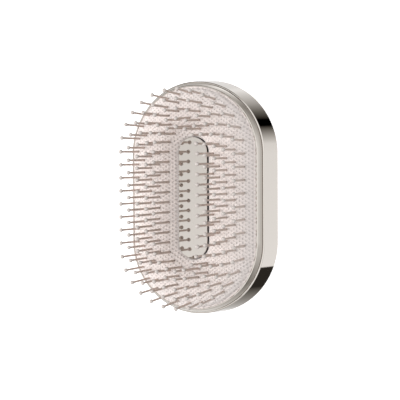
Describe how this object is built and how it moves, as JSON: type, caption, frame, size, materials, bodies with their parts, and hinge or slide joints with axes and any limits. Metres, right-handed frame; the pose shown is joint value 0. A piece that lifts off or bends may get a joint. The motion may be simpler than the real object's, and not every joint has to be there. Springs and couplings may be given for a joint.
{
  "type": "cushion brush",
  "caption": "Palm-size racetrack-shaped hair brush: polished metal body, crowned rubber cushion with rings of ball-tipped pins round a flat centre plate.",
  "frame": {"origin": "centre of the flat back face", "axes": "+X across the brush, +Y along it, +Z from the back towards the pins"},
  "size_m": [0.0668, 0.1066, 0.0387],
  "materials": {
    "housing_metal": "polished, warm nickel tone",
    "bezel_metal": "polished, warm nickel tone",
    "plate_metal": "mirror polished, warm nickel tone",
    "frame_plastic": "moulded",
    "boss_plastic": "moulded, dark",
    "screw_steel": "plain",
    "cushion_rubber": "matt, fine moulded texture",
    "pin_nylon": "satin"
  },
  "bodies": {
    "housing": {"back_shell": "housing_metal", "bezel_ring": "bezel_metal", "pad_frame": "frame_plastic", "centre_boss": "boss_plastic", "centre_plate": "plate_metal", "boss_screw_1": "screw_steel", "boss_screw_2": "screw_steel", "cushion": "cushion_rubber"},
    "pin_ring_1": {"pin_row_1_right": "pin_nylon", "pin_row_1_top_right": "pin_nylon", "pin_row_1_top_left": "pin_nylon", "pin_row_1_left": "pin_nylon", "pin_row_1_bottom_left": "pin_nylon", "pin_row_1_bottom_right": "pin_nylon"},
    "pin_ring_2": {"pin_row_2_right": "pin_nylon", "pin_row_2_top_right": "pin_nylon", "pin_row_2_top_left": "pin_nylon", "pin_row_2_left": "pin_nylon", "pin_row_2_bottom_left": "pin_nylon", "pin_row_2_bottom_right": "pin_nylon"},
    "pin_ring_3": {"pin_row_3_right": "pin_nylon", "pin_row_3_top_right": "pin_nylon", "pin_row_3_top_left": "pin_nylon", "pin_row_3_left": "pin_nylon", "pin_row_3_bottom_left": "pin_nylon", "pin_row_3_bottom_right": "pin_nylon"},
    "pin_ring_4": {"pin_row_4_right": "pin_nylon", "pin_row_4_top_right": "pin_nylon", "pin_row_4_top_left": "pin_nylon", "pin_row_4_left": "pin_nylon", "pin_row_4_bottom_left": "pin_nylon", "pin_row_4_bottom_right": "pin_nylon"},
    "pin_ring_5": {"pin_row_5_right": "pin_nylon", "pin_row_5_top_right": "pin_nylon", "pin_row_5_top_left": "pin_nylon", "pin_row_5_left": "pin_nylon", "pin_row_5_bottom_left": "pin_nylon", "pin_row_5_bottom_right": "pin_nylon"}
  },
  "joints": [
    {"name": "press_1", "type": "slide", "parent": "housing", "child": "pin_ring_1", "axis": [0, 0, -1], "range_m": [0, 0.00183], "stiffness_N_per_m": 400},
    {"name": "press_2", "type": "slide", "parent": "housing", "child": "pin_ring_2", "axis": [0, 0, -1], "range_m": [0, 0.00276], "stiffness_N_per_m": 400},
    {"name": "press_3", "type": "slide", "parent": "housing", "child": "pin_ring_3", "axis": [0, 0, -1], "range_m": [0, 0.003], "stiffness_N_per_m": 400, "deforming": ["cushion"]},
    {"name": "press_4", "type": "slide", "parent": "housing", "child": "pin_ring_4", "axis": [0, 0, -1], "range_m": [0, 0.00276], "stiffness_N_per_m": 400},
    {"name": "press_5", "type": "slide", "parent": "housing", "child": "pin_ring_5", "axis": [0, 0, -1], "range_m": [0, 0.00183], "stiffness_N_per_m": 400}
  ],
  "couplings": [
    {"joint": "press_1", "follows": "press_3", "ratio": 0.60786},
    {"joint": "press_2", "follows": "press_3", "ratio": 0.92037},
    {"joint": "press_4", "follows": "press_3", "ratio": 0.92037},
    {"joint": "press_5", "follows": "press_3", "ratio": 0.60786}
  ]
}
